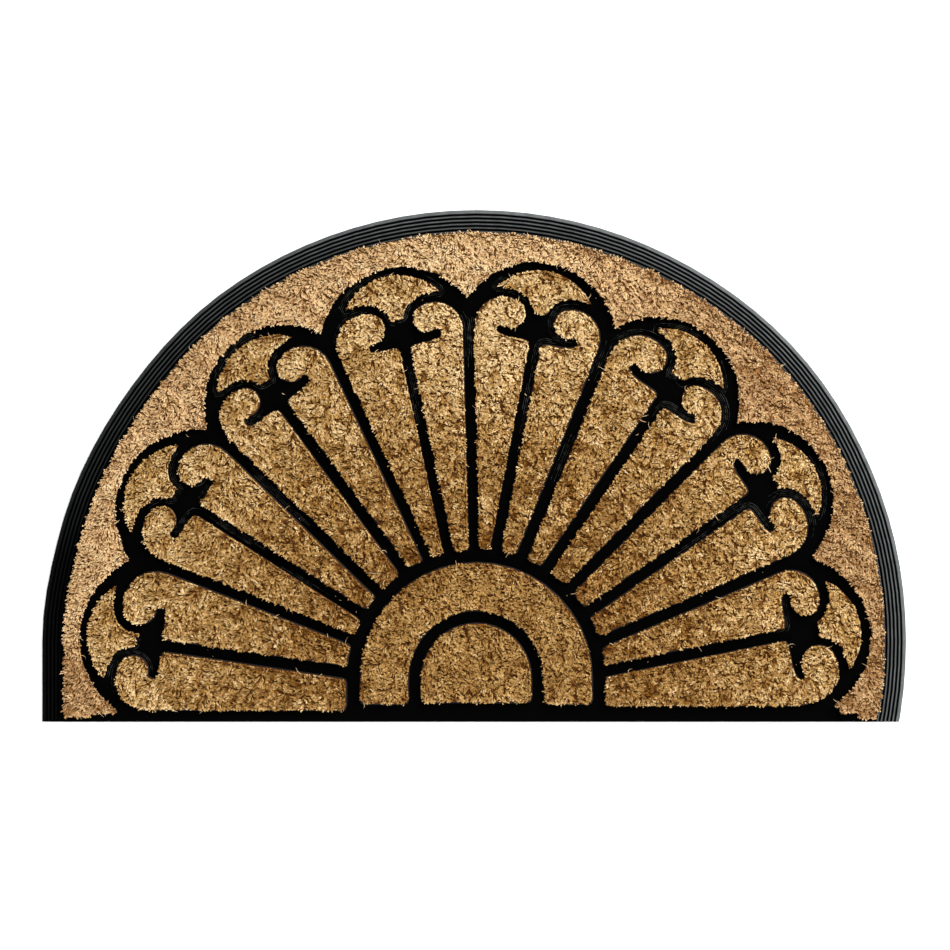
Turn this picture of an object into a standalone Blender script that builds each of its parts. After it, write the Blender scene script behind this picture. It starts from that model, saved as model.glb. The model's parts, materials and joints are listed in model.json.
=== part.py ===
"""Half-round coir doormat.

A moulded rubber base carries a fan of raised scrollwork, and coir pile is set between its lines. The mat
lies flat with its straight edge towards -Y and its arc towards +Y.

The fan is worked out in a drawing frame in millimetres, with X along the straight edge, Y towards the arc
and zero at the middle of the straight edge. Spokes are numbered from the middle one, 0, to 7 at the right
and -7 at the left. The even ones part the lobes and the odd ones are the lobes' stems. At the end the
parts move so that the origin is the middle of the underside.
"""

import bmesh
import bpy
from math import atan2, ceil, cos, degrees, hypot, pi, radians, sin, tan
from mathutils import Vector

MM = 0.001
WELD = 0.01 * MM

# Outline of the mat
ARC_RADIUS = 375.0
ARC_CENTRE_Y = 70.0
ARC_STEP_DEG = 10 / 3
LEFT_FOOT_DEG = 180.0
FIELD_MARGIN = 10.0

# How far the hand-trimmed edge swells beyond its circle: degrees round the arc, millimetres
EDGE_SWELL = (
    (-20, 0.0),
    (0, -1.2),
    (20, -0.5),
    (42, 1.2),
    (65, 0.0),
    (125, 0.0),
    (145, -2.2),
    (165, -0.6),
    (180, 2.5),
)

# Heights above the floor
POCKET_FLOOR = 3.5
LINE_TOP = 8.0
PILE_TOP = 13.0
GAP = 0.3

# Ribbed rim
RIM_WIDTH = 20.0
RIB_COUNT = 5
RIB_PITCH = 3.3
GROOVE_WIDTH = 1.2
GROOVE_DEPTH = 1.3
RIM_INNER_TOP = 7.4
RIM_OUTER_TOP = 5.0
EDGE_THICKNESS = 2.2
CORE_SETBACK = 2.0

# Hub: two stilted arches of rubber round a half-round patch
HUB_Y = 37.8
HUB_ARCHES = (
    # centre line radius, line width
    (53.5, 9.6),
    (106.8, 10.6),
)
HUB_STEP_DEG = 9.0

# Bottom strip of bare rubber
STRIP_LOW = -20.0
STRIP_STEPS = (
    # from, to, depth
    (-400.0, -335.0, 4.8),
    (-335.0, -312.0, 7.5),
    (-312.0, -104.0, 9.6),
    (-104.0, -52.0, 14.8),
    (-52.0, 52.0, 16.2),
    (52.0, 104.0, 14.8),
    (104.0, 316.0, 13.7),
    (316.0, 332.0, 8.0),
    (332.0, 400.0, 2.8),
)
LOW_SPOKE_DEPTHS = {8: 13.7, -8: 9.6}

# Spokes: their angles about the hub where they leave it and at the stems' heads
FOOT_RADIUS = 110.0
HEAD_RADIUS = 285.0
SPOKES = {
    # number: (foot degrees, head degrees)
    7: (3.1, 8.2),
    6: (16.2, 20.4),
    5: (30.8, 33.2),
    4: (44.1, 44.8),
    3: (57.5, 56.4),
    2: (69.5, 68.7),
    1: (81.6, 80.1),
    0: (90.8, 91.2),
    -1: (102.3, 102.2),
    -2: (111.7, 113.8),
    -3: (123.6, 125.3),
    -4: (138.5, 136.8),
    -5: (150.6, 148.7),
    -6: (162.5, 160.1),
    -7: (177.2, 173.9),
}
SPOKE_WIDTH = 9.3
SPOKE_ROOT = 104.0
STEM_HEAD = 27.0
DIVIDER_HEAD = 27.5

# Lobes: a lunate arch over each stem, and the scrolls on its right and left
LOBES = {
    # stem: (arch reach, arch degrees, outer radius, crown width,
    #        right drop, left drop, right tail degrees, left tail degrees)
    7: (274.8, 7.6, 71.0, 9.0, -7.0, -4.0, 191, 191),
    5: (285.5, 32.6, 70.0, 9.0, -9.0, 0.0, 175, 191),
    3: (289.3, 57.1, 71.5, 8.5, -5.0, 0.0, 191, 191),
    1: (295.5, 80.0, 71.0, 7.5, -2.0, -2.0, 191, 191),
    -1: (292.5, 102.6, 72.5, 7.5, 0.0, -2.0, 191, 170),
    -3: (289.2, 125.0, 71.0, 7.5, 0.0, 0.0, 180, 191),
    -5: (281.2, 149.2, 72.5, 7.0, 0.0, 0.0, 165, 185),
    -7: (270.8, 172.7, 75.9, 7.0, -1.0, 2.0, 165, 165),
}
ARCH_INNER_RADIUS = 51.5
ARCH_OUTER_SWEEP = 77.0
ARCH_INNER_SWEEP = 60.0
ARCH_STEP_DEG = 8.0
ARCH_FOOT_START = 55.0
ARCH_FOOT_END = 100.0
ARCH_FOOT_WIDTH = 10.0

# Scrolls: a straight start, a wide arc and a tight tail, for a lobe of this half width
SCROLL_HALF_LOBE = 56.9
SCROLL_START = -4.0
SCROLL_STRAIGHT = 10.0
SHOULDER_RADIUS = 29.5
SHOULDER_TURN = 124
TAIL_RADIUS = 16.5
SCROLL_STEP_DEG = 18.0
SCROLL_WIDTHS = (9.8, 7.0)

# Web of rubber that fills the stem's side below and beside a scroll
WEB_HALF_WIDTH = 9.5
WEB_SHOULDER = 4.0
WEB_OVERLAP = 0.4

# Corners of the pile patches
CORNER_RADIUS = 5.0
CORNER_TURN = radians(32)
CORNER_SHARE = 0.45
CORNER_STEPS = 2
STRAIGHT_TURN = radians(1)
SHORTEST_EDGE = 1.0
SHARPEST_SPREAD = 0.5

# How the patches are told apart: by area, and by how far their middle lies from the hub
SMALLEST_PATCH = 300.0
CRESCENT_AREA = 20000.0
CAP_AREA = 2600.0
DISC_REACH = 30.0
RING_REACH = 100.0

CUTTER_LOW = -5.0
CUTTER_HIGH = 30.0
FLAT_TURN = radians(0.5)
FACES_DOWN = -0.9


def clear_objects():
    for item in list(bpy.data.objects):
        bpy.data.objects.remove(item, do_unlink=True)


def new_collection(name):
    collection = bpy.data.collections.new(name)
    bpy.context.scene.collection.children.link(collection)
    return collection


def new_material(name, colour, roughness):
    material = bpy.data.materials.new(name)
    material.use_nodes = True
    shader = material.node_tree.nodes["Principled BSDF"]
    shader.inputs["Base Color"].default_value = (*colour, 1.0)
    shader.inputs["Roughness"].default_value = roughness
    shader.inputs["Metallic"].default_value = 0.0
    return material


def polar(radius, angle_deg, centre=(0.0, HUB_Y)):
    angle = radians(angle_deg)
    return Vector((centre[0] + radius * cos(angle), centre[1] + radius * sin(angle)))


def arc_points(centre, radius, start_deg, end_deg, step_deg):
    steps = max(2, ceil(abs(end_deg - start_deg) / step_deg))
    turn = (end_deg - start_deg) / steps
    return [polar(radius, start_deg + turn * step, centre) for step in range(steps + 1)]


def edge_swell(angle_deg):
    """How far the edge stands beyond its circle, eased between the rows of the table."""
    for (start, low), (end, high) in zip(EDGE_SWELL, EDGE_SWELL[1:]):
        if start <= angle_deg <= end:
            ease = (1 - cos(pi * (angle_deg - start) / (end - start))) / 2
            return low + (high - low) * ease
    return EDGE_SWELL[-1][1]


def edge_point(radius, angle_deg):
    """A point of the mat's edge, or of a line that runs along it. The left foot drops straight."""
    radius += edge_swell(min(angle_deg, LEFT_FOOT_DEG))
    centre = (0.0, ARC_CENTRE_Y)
    if angle_deg <= LEFT_FOOT_DEG:
        return polar(radius, angle_deg, centre)
    return Vector((-radius, ARC_CENTRE_Y - radius * sin(radians(angle_deg - LEFT_FOOT_DEG))))


def offset_band(points, start_width, end_width):
    """The outline of a line whose width changes evenly from its start to its end."""
    lengths = [0.0]
    for first, second in zip(points, points[1:]):
        lengths.append(lengths[-1] + (second - first).length)
    left, right = [], []
    last = len(points) - 1
    for index, point in enumerate(points):
        along = (points[min(index + 1, last)] - points[max(index - 1, 0)]).normalized()
        share = lengths[index] / lengths[-1]
        half = (start_width + (end_width - start_width) * share) / 2
        side = Vector((-along.y, along.x)) * half
        left.append(point + side)
        right.append(point - side)
    return left + right[::-1]


def spoke_line(number):
    """A spoke's foot and its direction. Past the outermost stems it is the bottom strip's own line."""
    if number in SPOKES:
        foot = polar(FOOT_RADIUS, SPOKES[number][0])
        head = polar(HEAD_RADIUS, SPOKES[number][1])
        return foot, (head - foot).normalized()
    side = 1 if number > 0 else -1
    return Vector((side * FOOT_RADIUS, LOW_SPOKE_DEPTHS[number] - SPOKE_WIDTH / 2)), Vector((side, 0.0))


def spoke_outline(number, head):
    foot, along = spoke_line(number)
    start = foot + along * (SPOKE_ROOT - FOOT_RADIUS)
    end = foot + along * (head - FOOT_RADIUS)
    return offset_band([start, end], SPOKE_WIDTH, SPOKE_WIDTH)


def arch_outline(stem):
    """A lunate band between two arcs, thin at its crown."""
    reach, angle, radius, crown = LOBES[stem][:4]
    inner_reach = reach + radius - crown - ARCH_INNER_RADIUS
    sweep = ARCH_OUTER_SWEEP
    outer = arc_points(polar(reach, angle), radius, angle - sweep, angle + sweep, ARCH_STEP_DEG)
    sweep = ARCH_INNER_SWEEP
    inner = arc_points(
        polar(inner_reach, angle), ARCH_INNER_RADIUS, angle - sweep, angle + sweep, ARCH_STEP_DEG
    )
    return outer + inner[::-1]


def arch_foot_outline(stem):
    """The stretch in which an outermost arch runs on down into the bottom strip."""
    reach, angle, radius = LOBES[stem][:3]
    side = -1 if stem > 0 else 1
    start, end = angle + side * ARCH_FOOT_START, angle + side * ARCH_FOOT_END
    middle = radius - ARCH_FOOT_WIDTH / 2
    points = arc_points(polar(reach, angle), middle, start, end, ARCH_STEP_DEG)
    return offset_band(points, ARCH_FOOT_WIDTH, ARCH_FOOT_WIDTH)


def lobe_frame(stem, side):
    """The frame of half a lobe: its origin beside the arch's centre, its way up the stem and its way out."""
    foot, up = spoke_line(stem)
    out = Vector((up.y, -up.x)) * side
    return foot + up * (LOBES[stem][0] - FOOT_RADIUS), up, out


def scroll_points(stem, side):
    """The centre line of one scroll, from its start on the next spoke to the end of its tail."""
    origin, up, out = lobe_frame(stem, side)
    column = 0 if side > 0 else 1
    drop = LOBES[stem][4 + column]
    tail_turn = LOBES[stem][6 + column]
    spoke_foot, spoke_up = spoke_line(stem + side)
    rise = SCROLL_START + drop
    along = (rise - (spoke_foot - origin).dot(up)) / spoke_up.dot(up)
    point = spoke_foot + spoke_up * along
    size = (point - origin).dot(out) / SCROLL_HALF_LOBE
    heading = atan2(spoke_up.dot(up), spoke_up.dot(out))
    points = [point.copy()]

    def advance(length, angle):
        points.append(points[-1] + (out * cos(angle) + up * sin(angle)) * length)

    advance(SCROLL_STRAIGHT * size, heading)
    for radius, turn_deg in ((SHOULDER_RADIUS, SHOULDER_TURN), (TAIL_RADIUS, tail_turn)):
        steps = ceil(turn_deg / SCROLL_STEP_DEG)
        turn = radians(turn_deg) / steps
        chord = 2 * radius * size * sin(turn / 2)
        for _ in range(steps):
            advance(chord, heading + turn / 2)
            heading += turn
    return points


def web_outline(stem, side):
    """The fill between a stem and its scroll, level with the tail's underside and up to the stem's head."""
    origin, up, out = lobe_frame(stem, side)
    scroll = scroll_points(stem, side)
    tail = min(scroll[len(scroll) // 2:], key=lambda point: (point - origin).dot(up))
    low = (tail - origin).dot(up) - sum(SCROLL_WIDTHS) / 4 + WEB_OVERLAP
    reach = (tail - origin).dot(out)
    corners = (
        (0.0, low),
        (reach, low),
        (reach, low + WEB_SHOULDER),
        (WEB_HALF_WIDTH, low + 2 * WEB_SHOULDER),
        (WEB_HALF_WIDTH, STEM_HEAD - WEB_SHOULDER),
        (0.0, STEM_HEAD),
    )
    return [origin + out * across + up * along for across, along in corners]


def hub_outline(radius, width):
    """An arch with straight legs that run down past the straight edge."""
    legs = [Vector((side * radius, STRIP_LOW)) for side in (-1, 1)]
    arch = arc_points((0.0, HUB_Y), radius, 180, 0, HUB_STEP_DEG)
    return offset_band(legs[:1] + arch + legs[1:], width, width)


def strip_outline(start, end, depth):
    corners = ((start, STRIP_LOW), (end, STRIP_LOW), (end, depth), (start, depth))
    return [Vector(corner) for corner in corners]


def line_outlines():
    """Every raised line of the fan, as closed outlines that overlap where they meet."""
    outlines = [strip_outline(*row) for row in STRIP_STEPS]
    outlines += [hub_outline(radius, width) for radius, width in HUB_ARCHES]
    outlines += [arch_foot_outline(stem) for stem in (min(LOBES), max(LOBES))]
    for number in SPOKES:
        if number in LOBES:
            outlines.append(spoke_outline(number, LOBES[number][0] + STEM_HEAD))
            outlines.append(arch_outline(number))
            for side in (1, -1):
                outlines.append(offset_band(scroll_points(number, side), *SCROLL_WIDTHS))
                outlines.append(web_outline(number, side))
        else:
            nearest = min(LOBES, key=lambda stem: (abs(stem - number), abs(stem)))
            outlines.append(spoke_outline(number, LOBES[nearest][0] + DIVIDER_HEAD))
    return outlines


def field_outline():
    """The area inside the rim, before the lines part it."""
    radius = ARC_RADIUS - RIM_WIDTH
    foot = degrees(atan2(ARC_CENTRE_Y + FIELD_MARGIN, radius))
    steps = ceil((180 + 2 * foot) / ARC_STEP_DEG)
    turn = (180 + 2 * foot) / steps
    return [edge_point(radius, turn * step - foot) for step in range(steps + 1)]


def flat_solid(name, points, low, high, collection):
    """A closed outline in the drawing frame, filled and raised from low to high."""
    curve = bpy.data.curves.new(name, "CURVE")
    curve.dimensions = "2D"
    curve.fill_mode = "BOTH"
    curve.extrude = (high - low) / 2 * MM
    spline = curve.splines.new("POLY")
    spline.points.add(len(points) - 1)
    for spline_point, point in zip(spline.points, points):
        spline_point.co = (point.x * MM, point.y * MM, 0.0, 1.0)
    spline.use_cyclic_u = True
    holder = bpy.data.objects.new(name + "_outline", curve)
    collection.objects.link(holder)
    evaluated = holder.evaluated_get(bpy.context.evaluated_depsgraph_get())
    mesh = bpy.data.meshes.new_from_object(evaluated)
    bpy.data.objects.remove(holder, do_unlink=True)
    model = bmesh.new()
    model.from_mesh(mesh)
    bmesh.ops.translate(model, verts=model.verts, vec=(0.0, 0.0, (low + high) / 2 * MM))
    bmesh.ops.remove_doubles(model, verts=model.verts, dist=WELD)
    bmesh.ops.dissolve_limit(
        model, angle_limit=FLAT_TURN, verts=model.verts, edges=model.edges, use_dissolve_boundaries=False
    )
    bmesh.ops.recalc_face_normals(model, faces=model.faces)
    model.to_mesh(mesh)
    model.free()
    mesh.name = name
    solid = bpy.data.objects.new(name, mesh)
    collection.objects.link(solid)
    return solid


def hide_cutter(cutter):
    cutter.hide_render = True
    cutter.display_type = "WIRE"


def cut_away(target, cutters):
    """Cuts each cutter from the target, one after another, and keeps the result as the target's mesh."""
    for cutter in cutters:
        hide_cutter(cutter)
        modifier = target.modifiers.new(cutter.name, "BOOLEAN")
        modifier.operation = "DIFFERENCE"
        modifier.solver = "EXACT"
        modifier.object = cutter
        evaluated = target.evaluated_get(bpy.context.evaluated_depsgraph_get())
        mesh = bpy.data.meshes.new_from_object(evaluated)
        target.modifiers.remove(modifier)
        old = target.data
        target.data = mesh
        mesh.name = target.name
        bpy.data.meshes.remove(old)


def underside_loops(mesh):
    """The outlines of a mesh's undersides, each in order, in the drawing frame."""
    model = bmesh.new()
    model.from_mesh(mesh)
    following = {}
    for face in model.faces:
        if face.normal.z > FACES_DOWN:
            continue
        for loop in face.loops:
            neighbour = loop.link_loop_radial_next.face
            if neighbour is not face and neighbour.normal.z < FACES_DOWN:
                continue
            following[loop.vert.index] = loop.link_loop_next.vert.index
    places = {vert.index: Vector(vert.co.xy) / MM for vert in model.verts}
    model.free()
    outlines = []
    while following:
        start, after = following.popitem()
        chain = [start]
        while after != start:
            chain.append(after)
            after = following.pop(after)
        outlines.append([places[index] for index in reversed(chain)])
    return outlines


def signed_area(points):
    return sum(first.cross(second) for first, second in zip(points, points[1:] + points[:1])) / 2


def centroid(points):
    area = signed_area(points)
    total = Vector((0.0, 0.0))
    for first, second in zip(points, points[1:] + points[:1]):
        total += (first + second) * first.cross(second)
    return total / (6 * area)


def turn_at(before, point, after):
    """How far an outline turns at a point, in radians, positive to the left."""
    first, second = point - before, after - point
    return atan2(first.cross(second), first.dot(second))


def without_crumbs(points):
    """The outline without points that are too close together or that lie on a straight run."""
    kept = []
    for point in points:
        if not kept or (point - kept[-1]).length > SHORTEST_EDGE:
            kept.append(point)
    if (kept[0] - kept[-1]).length < SHORTEST_EDGE:
        kept.pop()
    count = len(kept)
    return [
        kept[index]
        for index in range(count)
        if abs(turn_at(kept[index - 1], kept[index], kept[(index + 1) % count])) > STRAIGHT_TURN
    ]


def with_round_corners(points):
    """The outline with each sharp corner, inward or outward, made a short arc."""
    count = len(points)
    rounded = []
    for index, point in enumerate(points):
        before, after = points[index - 1], points[(index + 1) % count]
        turn = turn_at(before, point, after)
        if abs(turn) < CORNER_TURN:
            rounded.append(point)
            continue
        room = CORNER_SHARE * min((point - before).length, (after - point).length)
        cut_back = min(CORNER_RADIUS * abs(tan(turn / 2)), room, CORNER_RADIUS)
        start = point + (before - point).normalized() * cut_back
        end = point + (after - point).normalized() * cut_back
        for step in range(CORNER_STEPS + 1):
            share = step / CORNER_STEPS
            rounded.append(start.lerp(point, share).lerp(point.lerp(end, share), share))
    return rounded


def grown(points, distance):
    """The outline moved outwards by a distance that is small beside its edges."""
    count = len(points)
    moved = []
    for index, point in enumerate(points):
        first = (point - points[index - 1]).normalized()
        second = (points[(index + 1) % count] - point).normalized()
        outward = Vector((first.y + second.y, -first.x - second.x)).normalized()
        spread = max(SHARPEST_SPREAD, outward.dot(Vector((first.y, -first.x))))
        moved.append(point + outward * distance / spread)
    return moved


def pile_patches(cutters):
    """The outlines of the coir patches by name: the field inside the rim, parted by the raised lines."""
    field = flat_solid("pile_field", field_outline(), 0.0, PILE_TOP, cutters)
    hide_cutter(field)
    lines = [
        flat_solid("line_%02d" % index, outline, CUTTER_LOW, CUTTER_HIGH, cutters)
        for index, outline in enumerate(line_outlines())
    ]
    cut_away(field, lines)
    patches, blades, caps = {}, [], []
    for loop in underside_loops(field.data):
        area = abs(signed_area(loop))
        if area < SMALLEST_PATCH:
            continue
        if signed_area(loop) < 0:
            loop.reverse()
        outline = with_round_corners(without_crumbs(loop))
        reach = centroid(outline) - Vector((0.0, HUB_Y))
        if area > CRESCENT_AREA:
            patches["coir_crescent"] = outline
        elif reach.length < DISC_REACH:
            patches["coir_hub_disc"] = outline
        elif reach.length < RING_REACH:
            patches["coir_hub_ring"] = outline
        else:
            row = caps if area < CAP_AREA else blades
            row.append((atan2(reach.y, reach.x), outline))
    for name, row in (("coir_blade", blades), ("coir_cap", caps)):
        row.sort(key=lambda entry: entry[0])
        for index, (_, outline) in enumerate(row):
            patches["%s_%02d" % (name, index + 1)] = outline
    return patches


def rim_profile():
    """The base's section from its middle out: flat core, ribs and grooves, sloped land, edge, underside."""
    inner = ARC_RADIUS - RIM_WIDTH
    slope = (RIM_OUTER_TOP - RIM_INNER_TOP) / (RIB_COUNT * RIB_PITCH)
    points = [(0.0, LINE_TOP), (inner - CORE_SETBACK, LINE_TOP)]
    for rib in range(RIB_COUNT):
        start = inner + rib * RIB_PITCH
        end = start + RIB_PITCH - GROOVE_WIDTH
        groove = end + GROOVE_WIDTH / 2
        points.append((start, RIM_INNER_TOP + slope * (start - inner)))
        points.append((end, RIM_INNER_TOP + slope * (end - inner)))
        points.append((groove, RIM_INNER_TOP + slope * (groove - inner) - GROOVE_DEPTH))
    points.append((inner + RIB_COUNT * RIB_PITCH, RIM_OUTER_TOP))
    points.append((ARC_RADIUS, EDGE_THICKNESS))
    points.append((ARC_RADIUS, 0.0))
    points.append((0.0, 0.0))
    return points


def turned_disc(name, profile, collection):
    """The section turned about the middle of the arc, with its flat core left in one piece."""
    mesh = bpy.data.meshes.new(name)
    corners = [(radius * MM, 0.0, height * MM) for radius, height in profile]
    mesh.from_pydata(corners, [(index, index + 1) for index in range(len(corners) - 1)], [])
    disc = bpy.data.objects.new(name, mesh)
    collection.objects.link(disc)
    screw = disc.modifiers.new("turn", "SCREW")
    screw.axis = "Z"
    screw.steps = round(360 / ARC_STEP_DEG)
    screw.render_steps = screw.steps
    screw.use_merge_vertices = True
    screw.merge_threshold = WELD
    evaluated = disc.evaluated_get(bpy.context.evaluated_depsgraph_get())
    turned = bpy.data.meshes.new_from_object(evaluated)
    disc.modifiers.clear()
    disc.data = turned
    turned.name = name
    bpy.data.meshes.remove(mesh)
    model = bmesh.new()
    model.from_mesh(turned)
    bmesh.ops.remove_doubles(model, verts=model.verts, dist=WELD)
    bmesh.ops.recalc_face_normals(model, faces=model.faces)
    for height in (LINE_TOP * MM, 0.0):
        core = [face for face in model.faces if all(abs(vert.co.z - height) < WELD for vert in face.verts)]
        bmesh.ops.dissolve_faces(model, faces=core, use_verts=True)
    for vert in model.verts:
        radius = hypot(vert.co.x, vert.co.y) / MM
        angle = degrees(atan2(vert.co.y, vert.co.x))
        if angle < -90:
            angle += 360
        vert.co.xy = edge_point(radius, angle) * MM
    model.to_mesh(turned)
    model.free()
    return disc


def rubber_base(patches, collection, cutters):
    """The moulded base: the turned disc without its lower part, with a pocket for each coir patch."""
    base = turned_disc("rubber_base", rim_profile(), collection)
    below = 2 * ARC_RADIUS
    corners = [(-below, -below), (below, -below), (below, 0.0), (-below, 0.0)]
    lower_edges = [Vector(corner) for corner in corners]
    lower_part = flat_solid("lower_part", lower_edges, CUTTER_LOW, CUTTER_HIGH, cutters)
    pockets = [
        flat_solid(name + "_pocket", grown(outline, GAP), POCKET_FLOOR, CUTTER_HIGH, cutters)
        for name, outline in patches.items()
    ]
    cut_away(base, [lower_part] + pockets)
    return base


def finish(item, material):
    item.data.materials.clear()
    item.data.materials.append(material)


def centre_on_origin(items):
    """Moves every part so that the origin is the middle of the underside of them all."""
    corners = [vert.co for item in items for vert in item.data.vertices]
    low = [min(corner[axis] for corner in corners) for axis in range(3)]
    high = [max(corner[axis] for corner in corners) for axis in range(3)]
    shift = Vector((-(low[0] + high[0]) / 2, -(low[1] + high[1]) / 2, -low[2]))
    for item in items:
        for vert in item.data.vertices:
            vert.co += shift


def build_mat():
    clear_objects()
    parts = new_collection("half_round_coir_doormat")
    cutters = new_collection("cutters")
    rubber = new_material("moulded_rubber", (0.018, 0.018, 0.018), 0.55)
    coir = new_material("coir_pile", (0.48, 0.30, 0.13), 0.95)
    patches = pile_patches(cutters)
    base = rubber_base(patches, parts, cutters)
    finish(base, rubber)
    items = [base]
    for name, outline in patches.items():
        patch = flat_solid(name, outline, POCKET_FLOOR + GAP, PILE_TOP, parts)
        finish(patch, coir)
        items.append(patch)
    centre_on_origin(items)


if __name__ == "__main__":
    build_mat()
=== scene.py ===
"""Half-round coir doormat: finishes for the rubber moulding, the coir pile, stray fibres and a plain studio.

Lengths are in metres. The mat lies on the floor with its straight edge towards -Y and its pile up.
"""

import json
from math import cos, pi, radians, sin, sqrt, tau

import bpy
import numpy as np
from bpy.props import FloatProperty, FloatVectorProperty, IntProperty, PointerProperty
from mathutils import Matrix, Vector
from mathutils.bvhtree import BVHTree
from mathutils.kdtree import KDTree

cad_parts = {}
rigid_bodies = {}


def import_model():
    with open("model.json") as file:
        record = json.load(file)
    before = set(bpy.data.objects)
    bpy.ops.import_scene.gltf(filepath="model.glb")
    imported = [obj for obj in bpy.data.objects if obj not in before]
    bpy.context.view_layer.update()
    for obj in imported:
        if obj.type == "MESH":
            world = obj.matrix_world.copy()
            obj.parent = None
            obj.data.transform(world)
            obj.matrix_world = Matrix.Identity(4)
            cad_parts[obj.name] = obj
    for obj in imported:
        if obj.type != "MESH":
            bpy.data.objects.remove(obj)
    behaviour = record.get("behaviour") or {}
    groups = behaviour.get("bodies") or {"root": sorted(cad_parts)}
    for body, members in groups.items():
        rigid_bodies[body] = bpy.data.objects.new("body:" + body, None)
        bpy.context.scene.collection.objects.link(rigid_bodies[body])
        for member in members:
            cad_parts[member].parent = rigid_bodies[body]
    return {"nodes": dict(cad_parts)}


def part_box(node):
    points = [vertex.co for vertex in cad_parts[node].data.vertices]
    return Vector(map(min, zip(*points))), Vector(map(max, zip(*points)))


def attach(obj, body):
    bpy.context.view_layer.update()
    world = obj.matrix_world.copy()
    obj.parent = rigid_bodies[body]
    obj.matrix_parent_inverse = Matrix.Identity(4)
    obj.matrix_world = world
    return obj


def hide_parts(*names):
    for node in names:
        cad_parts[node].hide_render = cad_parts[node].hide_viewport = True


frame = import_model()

bl_info = {
    "name": "Half-round coir doormat",
    "version": (1, 0, 0),
    "blender": (4, 5, 0),
    "location": "View3D > Sidebar > Doormat",
    "description": "Finishes for a half-round doormat with coir pile in a rubber moulding",
    "category": "Object",
}

MM = 0.001
BODY = "root"
RUBBER_NODE = "rubber_base"
PILE_NODES = sorted(name for name in frame["nodes"] if name != RUBBER_NODE)
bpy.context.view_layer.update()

# Places of the ornament, as in the part: the rim's centre and the hub's centre
LOW_CORNER, HIGH_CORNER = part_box(RUBBER_NODE)
RIM_CENTRE = (1.85 * MM, -152.5 * MM)
RIM_RADIUS = 375 * MM
RIM_WIDTH = 20 * MM
RIB_COUNT = 5
RIB_PITCH = 3.3 * MM
RIB_SHARE = 0.64
LINE_TOP = 8.0 * MM
HUB_CENTRE = (1.85 * MM, -184.7 * MM)

BAKE_MAP = "OFBake"
TONE = "fibre_tone"
ALONG = "fibre_along"
RIB_PLACE = "rib_place"
BED_BAND = 0.12
CELL_FILL = 0.8


# Selection and meshes

def select_only(piece):
    """Makes piece the one selected and active object."""
    bpy.ops.object.select_all(action="DESELECT")
    piece.select_set(True)
    bpy.context.view_layer.objects.active = piece


def finish_piece(piece, material, nodes):
    """Gives a piece its finish and ties it to the frame."""
    piece.data.materials.clear()
    piece.data.materials.append(material)
    if nodes:
        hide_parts(*nodes)
    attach(piece, BODY)


def welded_copy(node, name):
    """A CAD node's loose triangles as one welded mesh of flat faces, in an object of its own."""
    piece = bpy.data.objects.new(name, frame["nodes"][node].data.copy())
    bpy.context.scene.collection.objects.link(piece)
    piece.data.name = name
    select_only(piece)
    bpy.ops.object.mode_set(mode="EDIT")
    bpy.ops.mesh.select_all(action="SELECT")
    bpy.ops.mesh.remove_doubles(threshold=0.005 * MM)
    bpy.ops.mesh.customdata_custom_splitnormals_clear()
    bpy.ops.mesh.dissolve_limited(angle_limit=radians(0.1))
    bpy.ops.object.mode_set(mode="OBJECT")
    return piece


def corner_coordinates(mesh):
    """Each triangle's three corners, as an array of triangles by 3 by 3."""
    mesh.calc_loop_triangles()
    places = np.empty(len(mesh.vertices) * 3)
    mesh.vertices.foreach_get("co", places)
    corners = np.empty(len(mesh.loop_triangles) * 3, dtype=np.int64)
    mesh.loop_triangles.foreach_get("vertices", corners)
    return places.reshape(-1, 3)[corners.reshape(-1, 3)], corners.reshape(-1, 3)


def facing_up(triangles, steepness=0.9):
    """Which triangles look up, and the plan area of each triangle."""
    across = triangles[:, 1] - triangles[:, 0]
    down = triangles[:, 2] - triangles[:, 0]
    crossed = np.cross(across, down)
    areas = np.linalg.norm(crossed, axis=1) / 2
    return crossed[:, 2] > steepness * 2 * areas, areas


def scatter_points(triangles, areas, count, rng):
    """Random points on the triangles, as many on each as its area asks for."""
    chosen = rng.choice(len(triangles), count, p=areas / areas.sum())
    first = np.sqrt(rng.random(count))[:, None]
    second = rng.random(count)[:, None]
    a, b, c = (triangles[chosen, i] for i in range(3))
    return a * (1 - first) + b * first * (1 - second) + c * first * second


def wander(points, wavelength, rng, waves=9):
    """A smooth random value at each point, mostly from -1 to 1, made of a few crossing waves."""
    headings = rng.uniform(0, tau, waves)
    lengths = wavelength * rng.uniform(0.6, 1.7, waves)
    phases = rng.uniform(0, tau, waves)
    along = points[:, :2] @ np.array([np.cos(headings), np.sin(headings)])
    return np.sin(along / lengths * tau + phases).sum(axis=1) / sqrt(waves)


def outline_of(triangles, corners):
    """The segments round the edge of some triangles of one face, in plan."""
    sides = np.concatenate([corners[:, [0, 1]], corners[:, [1, 2]], corners[:, [2, 0]]])
    starts = np.concatenate([triangles[:, 0], triangles[:, 1], triangles[:, 2]])[:, :2]
    ends = np.concatenate([triangles[:, 1], triangles[:, 2], triangles[:, 0]])[:, :2]
    keys = np.sort(sides, axis=1)
    _, index, uses = np.unique(keys, axis=0, return_index=True, return_counts=True)
    single = index[uses == 1]
    return starts[single], ends[single]


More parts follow.
